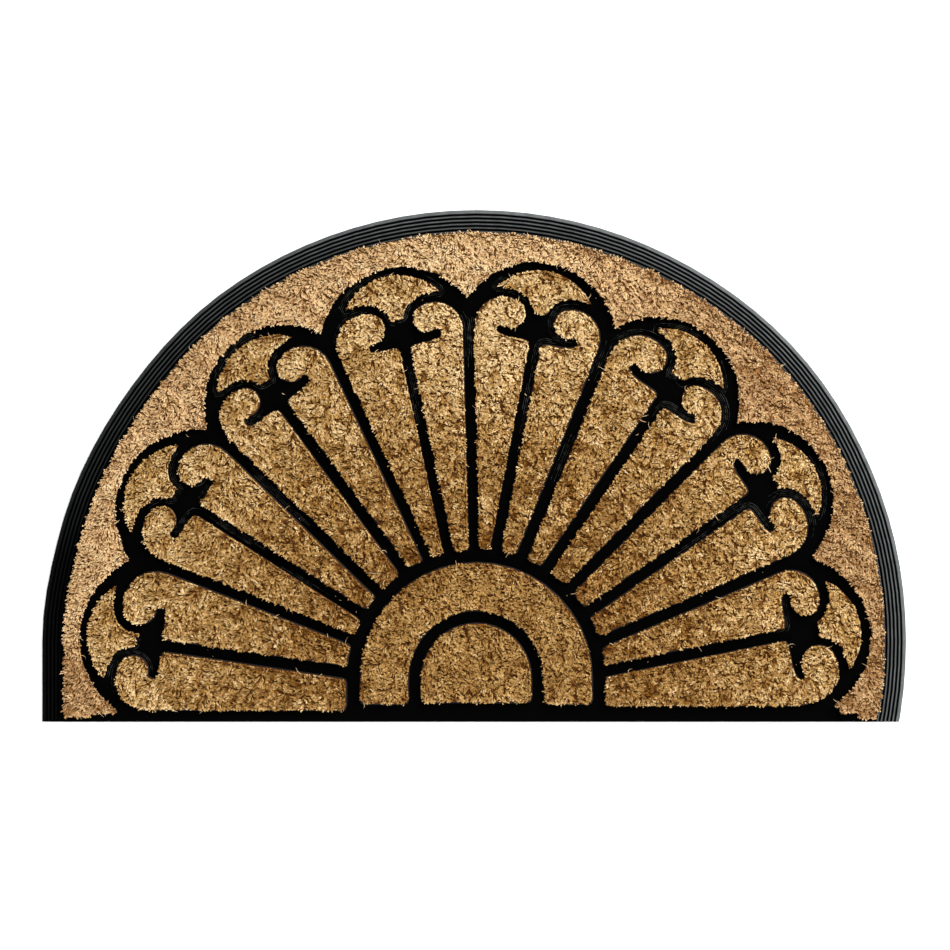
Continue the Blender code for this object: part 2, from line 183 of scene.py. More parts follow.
def nearest_edge(points, starts, ends, chunk=4000):
    """Each point's distance to the outline and the direction from the point to it, in plan."""
    spans = ends - starts
    squares = (spans ** 2).sum(axis=1)
    distances = np.empty(len(points))
    directions = np.empty((len(points), 2))
    for first in range(0, len(points), chunk):
        part = points[first:first + chunk, None, :2]
        share = np.clip(((part - starts) * spans).sum(axis=2) / squares, 0, 1)
        gaps = starts + share[:, :, None] * spans - part
        lengths = np.linalg.norm(gaps, axis=2)
        best = lengths.argmin(axis=1)
        rows = np.arange(len(best))
        distances[first:first + chunk] = lengths[rows, best]
        directions[first:first + chunk] = gaps[rows, best] / np.maximum(lengths[rows, best], 1e-9)[:, None]
    return distances, directions


def nearest_tuft(points, centres):
    """For each point, the number of the tuft centre nearest to it in plan, and how far off it is."""
    tree = KDTree(len(centres))
    for number, (x, y) in enumerate(centres[:, :2]):
        tree.insert((x, y, 0), number)
    tree.balance()
    found = [tree.find((x, y, 0)) for x, y in points[:, :2]]
    return np.array([number for _, number, _ in found]), np.array([distance for _, _, distance in found])


# Fibres

FIBRE_FACES = np.array([(1, 2, 0), (2, 3, 0), (3, 1, 0), (3, 2, 1)])
FIBRE_CORNERS = np.array([(0.5, 1.0), (0.0, 0.0), (1.0, 0.0), (0.5, 0.0)])


def fibre_mesh(name, roots, tips, widths, blunt, tones):
    """Slim four-faced fibres as one mesh. A blunt one is thick at its cut end, the others at their root."""
    count = len(roots)
    lines = tips - roots
    lines /= np.linalg.norm(lines, axis=1)[:, None]
    sideways = np.cross(lines, (0, 0, 1.0))
    sideways /= np.maximum(np.linalg.norm(sideways, axis=1), 1e-9)[:, None]
    upward = np.cross(sideways, lines)
    sharp = np.where(blunt[:, None], roots, tips)
    thick = np.where(blunt[:, None], tips, roots)
    turn = np.where(blunt, -1.0, 1.0)
    vertices = np.empty((count, 4, 3))
    vertices[:, 0] = sharp
    for corner in range(3):
        angle = pi / 2 + turn * corner * tau / 3
        swing = sideways * np.cos(angle)[:, None] + upward * np.sin(angle)[:, None]
        vertices[:, corner + 1] = thick + swing * widths[:, None] / 2
    faces = (np.arange(count)[:, None, None] * 4 + FIBRE_FACES).reshape(-1, 3)
    mesh = bpy.data.meshes.new(name)
    mesh.vertices.add(count * 4)
    mesh.vertices.foreach_set("co", vertices.ravel())
    mesh.loops.add(len(faces) * 3)
    mesh.loops.foreach_set("vertex_index", faces.ravel())
    mesh.polygons.add(len(faces))
    mesh.polygons.foreach_set("loop_start", np.arange(len(faces)) * 3)
    mesh.update(calc_edges=True)
    along = np.empty((count, 4))
    along[:, 0] = np.where(blunt, 0.0, 1.0)
    along[:, 1:] = np.where(blunt, 1.0, 0.0)[:, None]
    mesh.attributes.new(TONE, "FLOAT", "POINT").data.foreach_set("value", np.repeat(tones, 4))
    mesh.attributes.new(ALONG, "FLOAT", "POINT").data.foreach_set("value", along.ravel())
    cells = int(np.ceil(sqrt(count)))
    index = np.arange(count)
    cell = np.stack([index % cells, index // cells], axis=1)[:, None, None, :]
    spread = FIBRE_CORNERS[FIBRE_FACES][None] * CELL_FILL + (1 - CELL_FILL) / 2
    uv = (cell + spread) / cells
    uv[..., 1] *= 1 - BED_BAND
    mesh.uv_layers.new(name=BAKE_MAP).data.foreach_set("uv", uv.ravel())
    return mesh


def lowered_bed(node, name, drop, shoulder):
    """The solid under the fibres: the node's block with its top let down and its edge cut off."""
    bed = welded_copy(node, name)
    top = max(vertex.co.z for vertex in bed.data.vertices)
    bpy.ops.object.mode_set(mode="EDIT")
    bpy.ops.mesh.select_all(action="DESELECT")
    bpy.ops.object.mode_set(mode="OBJECT")
    for vertex in bed.data.vertices:
        vertex.select = vertex.co.z > top - 0.1 * MM
    bpy.ops.object.mode_set(mode="EDIT")
    bpy.ops.transform.translate(value=(0, 0, -drop))
    bpy.ops.mesh.region_to_loop()
    bpy.ops.mesh.bevel(offset=shoulder, segments=1, clamp_overlap=True)
    bpy.ops.object.mode_set(mode="OBJECT")
    low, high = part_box(node)
    mesh = bed.data
    places = np.empty(len(mesh.vertices) * 3)
    mesh.vertices.foreach_get("co", places)
    corners = np.empty(len(mesh.loops), dtype=np.int64)
    mesh.loops.foreach_get("vertex_index", corners)
    plan = places.reshape(-1, 3)[corners][:, :2]
    uv = (plan - np.array(low[:2])) / (np.array(high[:2]) - np.array(low[:2]))
    uv[:, 1] = 1 - BED_BAND * (0.05 + 0.9 * uv[:, 1])
    mesh.uv_layers.new(name=BAKE_MAP).data.foreach_set("uv", uv.ravel())
    mesh.attributes.new(TONE, "FLOAT", "POINT")
    # Painted shade: the bed's side is marked -1, which the fibre colour turns black, and its top -0.3, which
    # darkens it, for the shade deep among the fibres.
    side = places.reshape(-1, 3)[:, 2] < top - drop - 0.1 * MM
    mesh.attributes.new(ALONG, "FLOAT", "POINT").data.foreach_set("value", np.where(side, -1.0, -0.3))
    return bed, top


def top_outline(node, step):
    """A pile node's outline as an evenly stepped loop in plan, with the outward direction at each point."""
    copy = welded_copy(node, "outline_of_" + node)
    mesh = copy.data
    top = max(mesh.polygons, key=lambda face: (round(face.center.z / MM), face.area))
    corners = np.array([mesh.vertices[index].co.xy for index in top.vertices])
    bpy.ops.object.delete()
    bpy.data.meshes.remove(mesh)
    closed = np.vstack([corners, corners[:1]])
    lengths = np.concatenate([[0], np.cumsum(np.linalg.norm(np.diff(closed, axis=0), axis=1))])
    places = np.arange(0, lengths[-1], step)
    loop = np.column_stack([np.interp(places, lengths, closed[:, axis]) for axis in range(2)])
    along = np.roll(loop, -2, axis=0) - np.roll(loop, 2, axis=0)
    outward = np.column_stack([along[:, 1], -along[:, 0]])
    outward /= np.maximum(np.linalg.norm(outward, axis=1), 1e-9)[:, None]
    return loop, outward


def cad_surface(nodes):
    """A search tree of CAD nodes, to find how high they stand at a place."""
    corners, faces = [], []
    for node in nodes:
        mesh = frame["nodes"][node].data
        first = len(corners)
        corners += [vertex.co.copy() for vertex in mesh.vertices]
        faces += [[first + index for index in face.vertices] for face in mesh.polygons]
    return BVHTree.FromPolygons(corners, faces)


def height_at(surface, x, y):
    """The height of the surface at a place in plan, or nothing off its edge."""
    hit = surface.ray_cast((x, y, 0.1), (0, 0, -1))[0]
    return None if hit is None else hit.z


def thread_mesh(name, paths, widths, tones):
    """Slim three-sided threads, pointed at both ends, as one mesh, with as many points on each path."""
    count, steps = paths.shape[:2]
    along = np.gradient(paths, axis=1)
    along /= np.maximum(np.linalg.norm(along, axis=2), 1e-9)[:, :, None]
    sideways = np.cross(along, (0, 0, 1.0))
    sideways /= np.maximum(np.linalg.norm(sideways, axis=2), 1e-9)[:, :, None]
    upward = np.cross(sideways, along)
    slimness = np.interp(np.arange(steps), (0, 1, steps - 2, steps - 1), (0.3, 1.0, 0.9, 0.25))
    radii = (widths[:, None] * slimness / 2)[:, :, None]
    rings = []
    for corner in range(3):
        angle = pi / 2 + corner * tau / 3
        rings.append(paths + (sideways * cos(angle) + upward * sin(angle)) * radii)
    vertices = np.stack(rings, axis=2)
    sides = []
    for step in range(steps - 1):
        for corner in range(3):
            after = (corner + 1) % 3
            a, b = step * 3 + corner, step * 3 + after
            sides += [(a, b, b + 3), (a, b + 3, a + 3)]
    last = (steps - 1) * 3
    sides += [(2, 1, 0), (last, last + 1, last + 2)]
    faces = (np.arange(count)[:, None, None] * steps * 3 + np.array(sides)).reshape(-1, 3)
    mesh = bpy.data.meshes.new(name)
    mesh.from_pydata(vertices.reshape(-1, 3).tolist(), [], faces.tolist())
    mesh.attributes.new(TONE, "FLOAT", "POINT").data.foreach_set("value", np.repeat(tones, steps * 3))
    mesh.attributes.new(ALONG, "FLOAT", "POINT").data.foreach_set("value", np.ones(count * steps * 3))
    piece = bpy.data.objects.new(name, mesh)
    bpy.context.scene.collection.objects.link(piece)
    return piece


# Properties

class DoormatPile(bpy.types.PropertyGroup):
    """How the coir pile is cut and laid"""

    density: FloatProperty(
        name="Density", description="Fibres to a square millimetre", default=1.22, min=0.1, max=3.0)
    bed_drop: FloatProperty(
        name="Bed depth", description="How far the bed lies below the pile's top", default=2.4 * MM,
        unit="LENGTH")
    length: FloatProperty(
        name="Fibre length", description="Mean length of the fibres", default=4.4 * MM, unit="LENGTH")
    width: FloatProperty(
        name="Fibre width", description="Mean thickness of a fibre", default=1.25 * MM, unit="LENGTH")
    shoulder: FloatProperty(
        name="Shoulder", description="How far the bed's top is set in from its edge", default=1.5 * MM,
        unit="LENGTH")
    tuft: FloatProperty(
        name="Tuft size", description="Spacing of the tufts that lean together", default=5.5 * MM,
        unit="LENGTH")
    lock: FloatProperty(
        name="Lock size", description="Spacing of the small locks of fibre in a tuft", default=2.3 * MM,
        unit="LENGTH")
    lean: FloatProperty(
        name="Lean", description="Mean lean from upright", default=radians(58), subtype="ANGLE")
    heading: FloatProperty(
        name="Heading", description="Plan direction that the tips mostly point in", default=radians(225),
        subtype="ANGLE")


class DoormatColours(bpy.types.PropertyGroup):
    """Colours of the finishes"""

    crescent_light: FloatVectorProperty(
        name="Crescent, light", description="Brightest fibres of the outer band", subtype="COLOR",
        default=(1.0, 0.81, 0.50), min=0, max=1)
    crescent_middle: FloatVectorProperty(
        name="Crescent, middle", description="Most fibres of the outer band", subtype="COLOR",
        default=(0.86, 0.585, 0.30), min=0, max=1)
    crescent_dark: FloatVectorProperty(
        name="Crescent, dark", description="Darkest fibres of the outer band", subtype="COLOR",
        default=(0.40, 0.20, 0.065), min=0, max=1)
    field_light: FloatVectorProperty(
        name="Field, light", description="Brightest fibres of the inner patches", subtype="COLOR",
        default=(1.0, 0.75, 0.405), min=0, max=1)
    field_middle: FloatVectorProperty(
        name="Field, middle", description="Most fibres of the inner patches", subtype="COLOR",
        default=(0.60, 0.36, 0.115), min=0, max=1)
    field_dark: FloatVectorProperty(
        name="Field, dark", description="Darkest fibres of the inner patches", subtype="COLOR",
        default=(0.24, 0.09, 0.005), min=0, max=1)
    rubber: FloatVectorProperty(
        name="Rubber", description="The moulded rubber", subtype="COLOR", default=(0.0008, 0.0008, 0.0008),
        min=0, max=1)
    # Painted sheen: a grey that stands in for the key light glancing off the ribs' crests and the outer
    # land, on the rim's lit side.
    rim_dust: FloatVectorProperty(
        name="Rim sheen", description="Greyed tops of the rim's ribs", subtype="COLOR",
        default=(0.125, 0.135, 0.135), min=0, max=1)


class DoormatRubber(bpy.types.PropertyGroup):
    """The rubber moulding's finish"""

    edge_radius: FloatProperty(
        name="Edge radius", description="Rounding of the moulding's edges", default=0.35 * MM, unit="LENGTH")
    roughness: FloatProperty(
        name="Roughness", description="Surface roughness of the rubber", default=0.35, min=0, max=1)
    gloss: FloatProperty(
        name="Gloss", description="Specular level of the rubber", default=0.02, min=0, max=1)


class DoormatBeads(bpy.types.PropertyGroup):
    """The fine beads that the mould leaves along the raised lines"""

    count: IntProperty(name="Count", description="How many bundles of beads are tried", default=120, min=1)
    width: FloatProperty(name="Width", description="Thickness of a bead", default=0.42 * MM, unit="LENGTH")
    spacing: FloatProperty(
        name="Spacing", description="How far apart beads run side by side", default=1.55 * MM, unit="LENGTH")


class DoormatStray(bpy.types.PropertyGroup):
    """Loose fibres on the rubber"""

    hair_count: IntProperty(
        name="Hairs", description="Long fibres that reach over the rubber", default=160, min=1)
    crumb_count: IntProperty(
        name="Crumbs", description="Bits of fibre tried on the rubber of the fan", default=50, min=1)
    width: FloatProperty(
        name="Width", description="Thickness of a loose fibre", default=0.42 * MM, unit="LENGTH")


class DoormatStudio(bpy.types.PropertyGroup):
    """Floor, lights and camera"""

    camera_height: FloatProperty(
        name="Camera height", description="Height of the camera over the floor", default=6.0, unit="LENGTH")
    frame_width: FloatProperty(
        name="Frame width", description="Width of floor in the picture", default=0.8265, unit="LENGTH")
    key_power: FloatProperty(
        name="Key light", description="Power of the main light", default=300.0, unit="POWER")
    fill_power: FloatProperty(
        name="Fill light", description="Power of the fill light", default=130.0, unit="POWER")
    room_light: FloatProperty(name="Room light", description="Strength of the light all round", default=0.03)


# Materials

def add_node(tree, kind, place=(0, 0), **settings):
    """A shader node with its settings."""
    made = tree.nodes.new(kind)
    made.location = place
    for key, value in settings.items():
        setattr(made, key, value)
    return made


def new_material(name):
    """A node material with only its Principled BSDF and output, and those two nodes' tree."""
    material = bpy.data.materials.new(name)
    material.use_nodes = True
    return material, material.node_tree, material.node_tree.nodes["Principled BSDF"]


def mapped_range(tree, source, low, high, to_low, to_high):
    """A value taken from one range to another, held at its ends."""
    made = add_node(tree, "ShaderNodeMapRange", clamp=True)
    made.inputs["From Min"].default_value = low
    made.inputs["From Max"].default_value = high
    made.inputs["To Min"].default_value = to_low
    made.inputs["To Max"].default_value = to_high
    tree.links.new(source, made.inputs["Value"])
    return made.outputs["Result"]


def arithmetic(tree, operation, first, second):
    """One Math node on two sockets or numbers."""
    made = add_node(tree, "ShaderNodeMath", operation=operation)
    for place, value in enumerate((first, second)):
        if isinstance(value, (int, float)):
            made.inputs[place].default_value = value
        else:
            tree.links.new(value, made.inputs[place])
    return made.outputs[0]


def mixed_colour(tree, share, first, second, blend="MIX"):
    """A Mix node between two colours, each a socket or a colour."""
    made = add_node(tree, "ShaderNodeMix", data_type="RGBA", blend_type=blend)
    for key, value in ((0, share), (6, first), (7, second)):
        if isinstance(value, bpy.types.NodeSocket):
            tree.links.new(value, made.inputs[key])
        elif key == 0:
            made.inputs[key].default_value = value
        else:
            made.inputs[key].default_value = (*value[:3], 1)
    return made.outputs[2]


def noise(tree, scale, detail=2.0, roughness=0.5):
    """A noise pattern on Object coordinates, in patches to a metre."""
    place = add_node(tree, "ShaderNodeTexCoord")
    made = add_node(tree, "ShaderNodeTexNoise")
    made.inputs["Scale"].default_value = scale
    made.inputs["Detail"].default_value = detail
    made.inputs["Roughness"].default_value = roughness
    tree.links.new(place.outputs["Object"], made.inputs["Vector"])
    return made.outputs["Fac"]


def fibre_colour_group():
    """Node group: a coir fibre's colour from its tone, with painted shade that darkens it towards its root,
    darkens the bed's top and turns a bed's side black.
    """
    name = "fibre_colour"
    if name in bpy.data.node_groups:
        return bpy.data.node_groups[name]
    tree = bpy.data.node_groups.new(name, "ShaderNodeTree")
    for label in ("Dark", "Middle", "Light"):
        tree.interface.new_socket(label, in_out="INPUT", socket_type="NodeSocketColor")
    tree.interface.new_socket("Root Tint", in_out="INPUT", socket_type="NodeSocketColor")
    tree.interface.new_socket("Color", in_out="OUTPUT", socket_type="NodeSocketColor")
    inward = add_node(tree, "NodeGroupInput")
    outward = add_node(tree, "NodeGroupOutput")
    tone = add_node(tree, "ShaderNodeAttribute", attribute_name=TONE)
    along = add_node(tree, "ShaderNodeAttribute", attribute_name=ALONG)
    fine = noise(tree, 700.0)
    lifted = arithmetic(tree, "ADD", tone.outputs["Fac"], mapped_range(tree, fine, 0.3, 0.7, -0.04, 0.04))
    lower = mapped_range(tree, lifted, 0.0, 0.5, 0.0, 1.0)
    upper = mapped_range(tree, lifted, 0.5, 1.0, 0.0, 1.0)
    plain = mixed_colour(tree, lower, inward.outputs["Dark"], inward.outputs["Middle"])
    plain = mixed_colour(tree, upper, plain, inward.outputs["Light"])
    # Painted shade deep in the pile: the root shade colour darkens the fibre, fully at its root and not at
    # all at its tip.
    rooted = mixed_colour(tree, 1.0, plain, inward.outputs["Root Tint"], blend="MULTIPLY")
    whole = mixed_colour(tree, along.outputs["Fac"], rooted, plain)
    # Painted shade on the bed: black on a bed's side, half way to black on its top.
    shade = mapped_range(tree, along.outputs["Fac"], -0.6, 0.0, 0.0, 1.0)
    whole = mixed_colour(tree, shade, (0.004, 0.002, 0.001), whole)
    tree.links.new(whole, outward.inputs["Color"])
    return tree


def soft_normal_group():
    """Node group: the surface's normal, turned part of the way up, for the even look of many fine hairs."""
    name = "soft_normal"
    if name in bpy.data.node_groups:
        return bpy.data.node_groups[name]
    tree = bpy.data.node_groups.new(name, "ShaderNodeTree")
    tree.interface.new_socket("Normal", in_out="OUTPUT", socket_type="NodeSocketVector")
    outward = add_node(tree, "NodeGroupOutput")
    surface = add_node(tree, "ShaderNodeNewGeometry")
    raised = add_node(tree, "ShaderNodeVectorMath", operation="ADD")
    raised.inputs[1].default_value = (0, 0, 0.9)
    tree.links.new(surface.outputs["Normal"], raised.inputs[0])
    whole = add_node(tree, "ShaderNodeVectorMath", operation="NORMALIZE")
    tree.links.new(raised.outputs[0], whole.inputs[0])
    tree.links.new(whole.outputs[0], outward.inputs["Normal"])
    return tree


def pile_material(name, dark, middle, light, root_shade):
    """Cut coir: matt, with painted shade that makes it dark at the roots, and a fine grain."""
    if name in bpy.data.materials:
        return bpy.data.materials[name]
    material, tree, shader = new_material(name)
    colour = add_node(tree, "ShaderNodeGroup", node_tree=fibre_colour_group())
    colour.inputs["Dark"].default_value = (*dark, 1)
    colour.inputs["Middle"].default_value = (*middle, 1)
    colour.inputs["Light"].default_value = (*light, 1)
    colour.inputs["Root Tint"].default_value = (*root_shade, 1)
    tree.links.new(colour.outputs["Color"], shader.inputs["Base Color"])
    bump = add_node(tree, "ShaderNodeBump")
    bump.inputs["Strength"].default_value = 0.3
    bump.inputs["Distance"].default_value = 0.2 * MM
    tree.links.new(noise(tree, 1500.0), bump.inputs["Height"])
    soft = add_node(tree, "ShaderNodeGroup", node_tree=soft_normal_group())
    tree.links.new(soft.outputs["Normal"], bump.inputs["Normal"])
    tree.links.new(bump.outputs["Normal"], shader.inputs["Normal"])
    shader.inputs["Roughness"].default_value = 0.75
    shader.inputs["Specular IOR Level"].default_value = 0.2
    return material


def rim_sheen_group():
    """Node group: how much painted sheen lies on the ribs' crests and on the outer land, most at the upper
    right, where the key light glances off the rim.
    """
    name = "rim_dust"
    if name in bpy.data.node_groups:
        return bpy.data.node_groups[name]
    tree = bpy.data.node_groups.new(name, "ShaderNodeTree")
    tree.interface.new_socket("Dust", in_out="OUTPUT", socket_type="NodeSocketFloat")
    outward = add_node(tree, "NodeGroupOutput")
    place = add_node(tree, "ShaderNodeTexCoord")
    centred = add_node(tree, "ShaderNodeVectorMath", operation="SUBTRACT")
    centred.inputs[1].default_value = (*RIM_CENTRE, 0)
    tree.links.new(place.outputs["Object"], centred.inputs[0])
    parts = add_node(tree, "ShaderNodeSeparateXYZ")
    tree.links.new(centred.outputs[0], parts.inputs[0])
    east, north = parts.outputs["X"], parts.outputs["Y"]
    rib = add_node(tree, "ShaderNodeAttribute", attribute_name=RIB_PLACE).outputs["Fac"]
    phase = arithmetic(tree, "FRACT", rib, 0.0)
    off_crest = arithmetic(tree, "ABSOLUTE", arithmetic(tree, "SUBTRACT", phase, RIB_SHARE / 2), 0.0)
    # Painted highlight along each rib's crest.
    crest = mapped_range(tree, off_crest, 0.04, 0.8 * RIB_SHARE / 2, 1.0, 0.0)
    inside = mapped_range(tree, rib, RIB_COUNT - 0.1, RIB_COUNT, 1.0, 0.0)
    land = mapped_range(tree, rib, RIB_COUNT + 0.05, RIB_COUNT + 0.25, 0.0, 1.0)
    raised = arithmetic(tree, "MAXIMUM", arithmetic(tree, "MULTIPLY", crest, inside), land)
    growth = mapped_range(tree, rib, 0.0, 3.5, 0.6, 1.0)
    on_rim = mapped_range(tree, rib, 0.0, 0.1, 0.0, 1.0)
    # Painted sheen is strongest on the side of the rim that faces the key light at the upper right.
    rightward = arithmetic(tree, "MULTIPLY", east, 0.8)
    towards = arithmetic(tree, "ADD", rightward, arithmetic(tree, "MULTIPLY", north, 0.6))
    lit_side = mapped_range(tree, towards, -0.25, 0.2, 0.03, 1.0)
    streaks = mapped_range(tree, noise(tree, 120.0, 5.0, 0.65), 0.3, 0.7, 0.6, 1.0)
    sheen = arithmetic(tree, "MULTIPLY", raised, growth)
    for share in (on_rim, lit_side, streaks):
        sheen = arithmetic(tree, "MULTIPLY", sheen, share)
    tree.links.new(sheen, outward.inputs["Dust"])
    return tree


def rubber_material(colours, rubber):
    """Black moulded rubber with a faint grain, a few paler specks and a painted sheen that greys the rim's
    ribs on the lit side.
    """
    material, tree, shader = new_material("moulded_rubber_finish")
    grain = noise(tree, 900.0, 3.0)
    specks = mapped_range(tree, noise(tree, 260.0, 5.0, 0.7), 0.62, 0.8, 0.0, 0.5)
    colour = mixed_colour(tree, specks, colours.rubber, (0.006, 0.006, 0.0055))
    rim = add_node(tree, "ShaderNodeGroup", node_tree=rim_sheen_group())
    # Painted sheen: the rim's ribs and land turn grey where the key light would glance off them.
    colour = mixed_colour(tree, rim.outputs["Dust"], colour, colours.rim_dust)
    tree.links.new(colour, shader.inputs["Base Color"])
    bump = add_node(tree, "ShaderNodeBump")
    bump.inputs["Strength"].default_value = 0.25
    bump.inputs["Distance"].default_value = 0.15 * MM
    tree.links.new(grain, bump.inputs["Height"])
    tree.links.new(bump.outputs["Normal"], shader.inputs["Normal"])
    shader.inputs["Roughness"].default_value = rubber.roughness
    shader.inputs["Specular IOR Level"].default_value = rubber.gloss
    return material


# Operators

def mark_ribs(piece):
    """Gives each point of the rubber its place across the ribs, from 0 at the first rib's inner side.

    The edge swells a little beyond its circle, and its left foot drops straight, so that is taken off first.
    """
    def across(places):
        east, north = (places[:, axis] - RIM_CENTRE[axis] for axis in range(2))
        foot = (east < 0) & (north < 0)
        reach = np.where(foot, -east, np.hypot(east, north))
        return reach, np.where(foot, 180, np.degrees(np.arctan2(north, east)))

    def places_of(mesh):
        places = np.empty(len(mesh.vertices) * 3)
        mesh.vertices.foreach_get("co", places)
        return places.reshape(-1, 3)

    cad = places_of(frame["nodes"][RUBBER_NODE].data)
    reach, turn = across(cad)
    edge = (cad[:, 2] < 0.01 * MM) & (reach > RIM_RADIUS - RIM_WIDTH / 2)
    order = np.argsort(turn[edge])
    edge_turns, edge_reaches = turn[edge][order], reach[edge][order]
    reach, turn = across(places_of(piece.data))
    swell = np.interp(turn, edge_turns, edge_reaches) - RIM_RADIUS
    ribs = (reach - swell - (RIM_RADIUS - RIM_WIDTH)) / RIB_PITCH
    piece.data.attributes.new(RIB_PLACE, "FLOAT", "POINT").data.foreach_set("value", ribs)


class DOORMAT_OT_rubber(bpy.types.Operator):
    """Put a softened copy of the rubber moulding in its node's place"""

    bl_idname = "doormat.rubber"
    bl_label = "Rubber moulding"

    def execute(self, context):
        rubber = context.scene.doormat_rubber
        piece = welded_copy(RUBBER_NODE, "rubber_moulding")
        bevel = piece.modifiers.new("edges", "BEVEL")
        bevel.width = rubber.edge_radius
        bevel.segments = 2
        bevel.limit_method = "ANGLE"
        bevel.angle_limit = radians(25)
        bevel.use_clamp_overlap = True
        bevel.harden_normals = True
        bpy.ops.object.shade_smooth_by_angle(angle=radians(40))
        bpy.ops.object.modifier_apply(modifier=bevel.name)
        mark_ribs(piece)
        material = rubber_material(context.scene.doormat_colours, rubber)
        finish_piece(piece, material, [RUBBER_NODE])
        return {"FINISHED"}


def pile_kind(node):
    """The kind of patch that a coir node is."""
    return node.split("_")[1]


# Spread of the lay and tone of the tufts, of the small locks in them and of single fibres
TUFT_SWAY, SWAY_LENGTH = radians(80), 28 * MM
TUFT_TURN, LOCK_TURN, FIBRE_TURN = radians(40), radians(28), radians(14)
TUFT_DIP, DIP_LENGTH = radians(6), 20 * MM
TUFT_LEAN, LOCK_LEAN, FIBRE_LEAN = radians(5), radians(8), radians(5)
TUFT_TONE, LOCK_TONE, FIBRE_TONE = 0.11, 0.11, 0.03

# Some locks are bright, and some are short and dark, more of these to the right; their darker tone is
# painted shade for the gaps where the fibres are short
BRIGHT_SHARE, BRIGHT_TONE = 0.06, 0.25
PIT_PLACES, PIT_SHARES = (-0.2, 0.15), (0.05, 0.11)
PIT_TONE, PIT_LENGTH = 0.45, 0.5

# At the edge fibres lean outwards, and those on the side away from the heading stand more upright
EDGE_PULL, EDGE_REACH = 0.5, 1.6 * MM
AWAY_PULL, AWAY_REACH = 0.3, 2.2 * MM
AWAY_LIFT, FREE_LIFT = radians(22), radians(9)
LEAN_LIMITS = radians(15), radians(74)
LOCK_PULL = 0.25
ROOT_DEPTH = 0.3 * MM

# How strongly tones vary, and how far clumps of fibres stand over the edge in millimetres, by kind of patch
CONTRASTS = {"crescent": 0.5, "blade": 1.15, "cap": 1.05, "hub": 0.65}
EDGE_CLUMPS = {"crescent": 0.8, "blade": 0.25, "cap": 0.3, "hub": 0.3}

# How strongly the tone wanders over a centimetre or so, by kind of patch
PATCHINESS = {"crescent": 0.11, "blade": 0.08, "cap": 0.08, "hub": 0.1}

# Dark spots in the pile: east, north and radius in millimetres, and how much darker
STAINS = (
    (349.6, -169.9, 3.5, 0.6),
    (337.0, -138.5, 3.5, 0.5),
    (316.0, -172.0, 9.0, 0.15),
    (170.0, -120.0, 12.0, 0.15),
    (120.0, -95.0, 10.0, 0.12),
)


def patch_tones(points, kind, rng):
    """The tone of the pile at each point, from 0 for dark to 1 for light, before each fibre's own share.

    The blades are lighter at their outer ends, and the outer band is lightest at its crown.
    """
    reach = np.hypot(points[:, 0] - HUB_CENTRE[0], points[:, 1] - HUB_CENTRE[1]) / RIM_RADIUS
    turn = np.degrees(np.arctan2(points[:, 1] - RIM_CENTRE[1], points[:, 0] - RIM_CENTRE[0]))
    crown = np.exp(-((turn - 88) / 20) ** 2)
    if kind == "crescent":
        tone = np.interp(turn, (0, 30, 55, 78, 95, 125, 180), (0.22, 0.2, 0.27, 0.5, 0.6, 0.45, 0.51))
    elif kind == "blade":
        outer = np.clip(reach - 0.4, 0, 0.4) / 0.4
        tone = np.interp(reach, (0.3, 0.55, 0.85), (0.25, 0.42, 0.69)) + 0.24 * crown * outer
    elif kind == "cap":
        tone = np.full(len(points), 0.62) + 0.08 * crown
    else:
        tone = np.full(len(points), 0.38)
    return tone + 0.05 * wander(points, 45 * MM, rng) + PATCHINESS[kind] * wander(points, 13 * MM, rng)


def stains(points):
    """How much a few dark spots take from the tone at each point."""
    dark = np.zeros(len(points))
    for east, north, radius, drop in STAINS:
        off = np.hypot(points[:, 0] - east * MM, points[:, 1] - north * MM) / (radius * MM)
        dark += drop * np.exp(-off ** 2)
    return dark


def edge_light(outward, distances):
    """The pile's lower edges catch the light and its upper edges lie in shade."""
    down = outward @ np.array([0.25, -0.97])
    return np.where(down > 0, 0.07, 0.13) * down * np.exp(-distances / (6 * MM))


def draw_tufts(face, areas, roots, contrast, pile, rng):
    """The tufts and the small locks in them, and what they give to each fibre, as a dictionary of arrays."""
    tufts = scatter_points(face, areas, int(areas.sum() / pile.tuft ** 2), rng)
    locks = scatter_points(face, areas, int(areas.sum() / pile.lock ** 2), rng)
    tuft, _ = nearest_tuft(roots, tufts)
    lock, from_middle = nearest_tuft(roots, locks)
    tuft_turn = TUFT_SWAY * wander(tufts, SWAY_LENGTH, rng) + TUFT_TURN * rng.standard_normal(len(tufts))
    tuft_lean = TUFT_DIP * wander(tufts, DIP_LENGTH, rng) + TUFT_LEAN * rng.standard_normal(len(tufts))
    tuft_tone = TUFT_TONE * contrast * rng.standard_normal(len(tufts))
    tuft_edge = rng.standard_normal(len(tufts))
    lock_turn = LOCK_TURN * rng.standard_normal(len(locks))
    lock_lean = LOCK_LEAN * rng.standard_normal(len(locks))
    lock_tone = LOCK_TONE * contrast * rng.standard_normal(len(locks))
    lock_kind = rng.random(len(locks))
    pits = lock_kind < np.interp(locks[:, 0], PIT_PLACES, PIT_SHARES)
    # Pits get a darker tone: painted shade for the gaps where their fibres are short.
    lock_tone += contrast * (BRIGHT_TONE * (lock_kind > 1 - BRIGHT_SHARE) - PIT_TONE * pits)
    return {
        "turn": tuft_turn[tuft] + lock_turn[lock],
        "lean": tuft_lean[tuft] + lock_lean[lock],
        "tone": tuft_tone[tuft] + lock_tone[lock],
        "edge": tuft_edge[tuft],
        "pitted": pits[lock],
        "middle": locks[lock],
        "spread": np.clip(from_middle / (0.75 * pile.lock), 0, 1) ** 2,
    }


